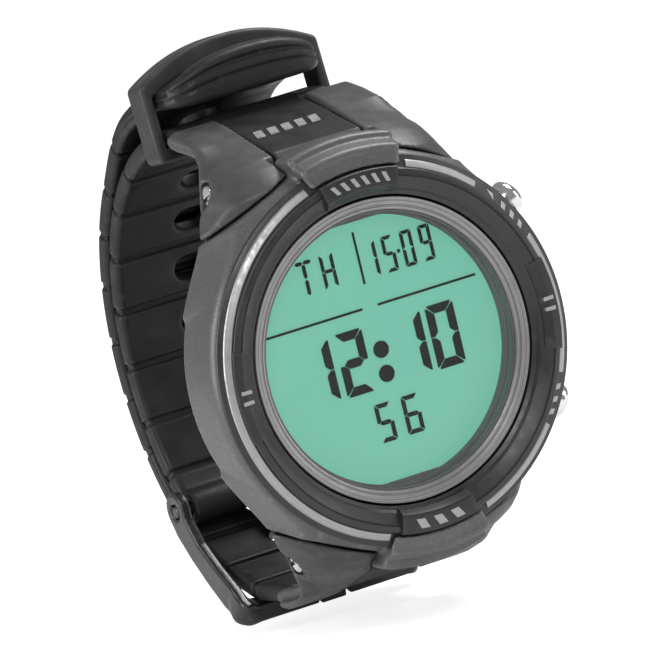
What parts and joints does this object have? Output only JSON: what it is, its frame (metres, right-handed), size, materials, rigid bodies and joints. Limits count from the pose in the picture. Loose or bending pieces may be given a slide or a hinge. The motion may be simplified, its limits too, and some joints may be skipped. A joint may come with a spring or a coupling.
{
  "type": "dive computer",
  "caption": "Round wrist dive computer with segment display, ringed bezel, side push buttons, slotted rubber strap, pin buckle and keeper.",
  "frame": {"origin": "centre of the flat outer face of the case back", "axes": "+Y out of the case back towards the wrist, +Z to 12 o'clock, +X to 3 o'clock; the display looks along -Y"},
  "size_m": [0.0452, 0.0558, 0.0684],
  "materials": {
    "case_grey": "satin, fine grain",
    "bezel_black": "satin black",
    "silver_trim": "brushed silver",
    "ring_grey": "satin warm grey",
    "lens_glass": "clear mineral glass",
    "seal_rubber": "matt black",
    "mask_grey": "matt dark grey print",
    "display_green": "pale green liquid crystal with dark segments",
    "inner_white": "moulded white",
    "board_green": "solder mask green",
    "steel": "brushed",
    "button_chrome": "polished",
    "strap_rubber": "matt black with a soft sheen",
    "buckle_plastic": "black, half gloss"
  },
  "bodies": {
    "case": {"case_body": "case_grey", "top_cover": "case_grey", "bezel": "bezel_black", "plaque_12": "bezel_black", "plaque_6": "bezel_black", "tick_insert_3": "bezel_black", "tick_insert_9": "bezel_black", "inlay_left": "silver_trim", "inlay_upper_right": "silver_trim", "inlay_right": "silver_trim", "inlay_lower_right": "silver_trim", "display_ring": "ring_grey", "lens": "lens_glass", "lens_gasket": "seal_rubber", "display_mask": "mask_grey", "lcd_panel": "display_green", "backlight_plate": "inner_white", "module_frame": "inner_white", "circuit_board": "board_green", "battery_holder": "bezel_black", "coin_cell": "steel", "pressure_sensor": "steel", "case_back": "steel", "case_back_gasket": "seal_rubber", "case_back_screw_1": "steel", "case_back_screw_2": "steel", "case_back_screw_3": "steel", "case_back_screw_4": "steel", "upper_button_bush": "steel", "upper_button_spring": "steel", "upper_button_seal": "seal_rubber", "lower_button_bush": "steel", "lower_button_spring": "steel", "lower_button_seal": "seal_rubber", "upper_strap": "strap_rubber", "lower_strap": "strap_rubber", "upper_strap_pin": "steel", "upper_strap_pin_screw": "steel", "lower_strap_pin": "steel", "lower_strap_pin_screw": "steel", "buckle_pin": "steel"},
    "upper_button": {"upper_button_cap": "button_chrome", "upper_button_clip": "steel"},
    "lower_button": {"lower_button_cap": "button_chrome", "lower_button_clip": "steel"},
    "buckle": {"buckle_frame": "buckle_plastic"},
    "tongue": {"buckle_tongue": "buckle_plastic"},
    "keeper": {"strap_keeper": "strap_rubber"}
  },
  "joints": [
    {"name": "upper_button_press", "type": "slide", "parent": "case", "child": "upper_button", "axis": [-0.866, 0, -0.5], "range_m": [0, 0.001], "stiffness_N_per_m": 1500, "springref_m": -0.001, "deforming": ["upper_button_spring"]},
    {"name": "lower_button_press", "type": "slide", "parent": "case", "child": "lower_button", "axis": [-0.866, 0, 0.5], "range_m": [0, 0.001], "stiffness_N_per_m": 1500, "springref_m": -0.001, "deforming": ["lower_button_spring"]},
    {"name": "buckle_hinge", "type": "hinge", "parent": "case", "child": "buckle", "pos_m": [0, 0.02942, -0.01767], "axis": [1, 0, 0], "range_deg": [0, 3]},
    {"name": "tongue_hinge", "type": "hinge", "parent": "buckle", "child": "tongue", "pos_m": [0, 0.02942, -0.01767], "axis": [1, 0, 0], "range_deg": [0, 3]},
    {"name": "keeper_slide", "type": "hinge", "parent": "case", "child": "keeper", "pos_m": [0, 0.0098, 0], "axis": [-1, 0, 0], "range_deg": [0, 30]}
  ]
}
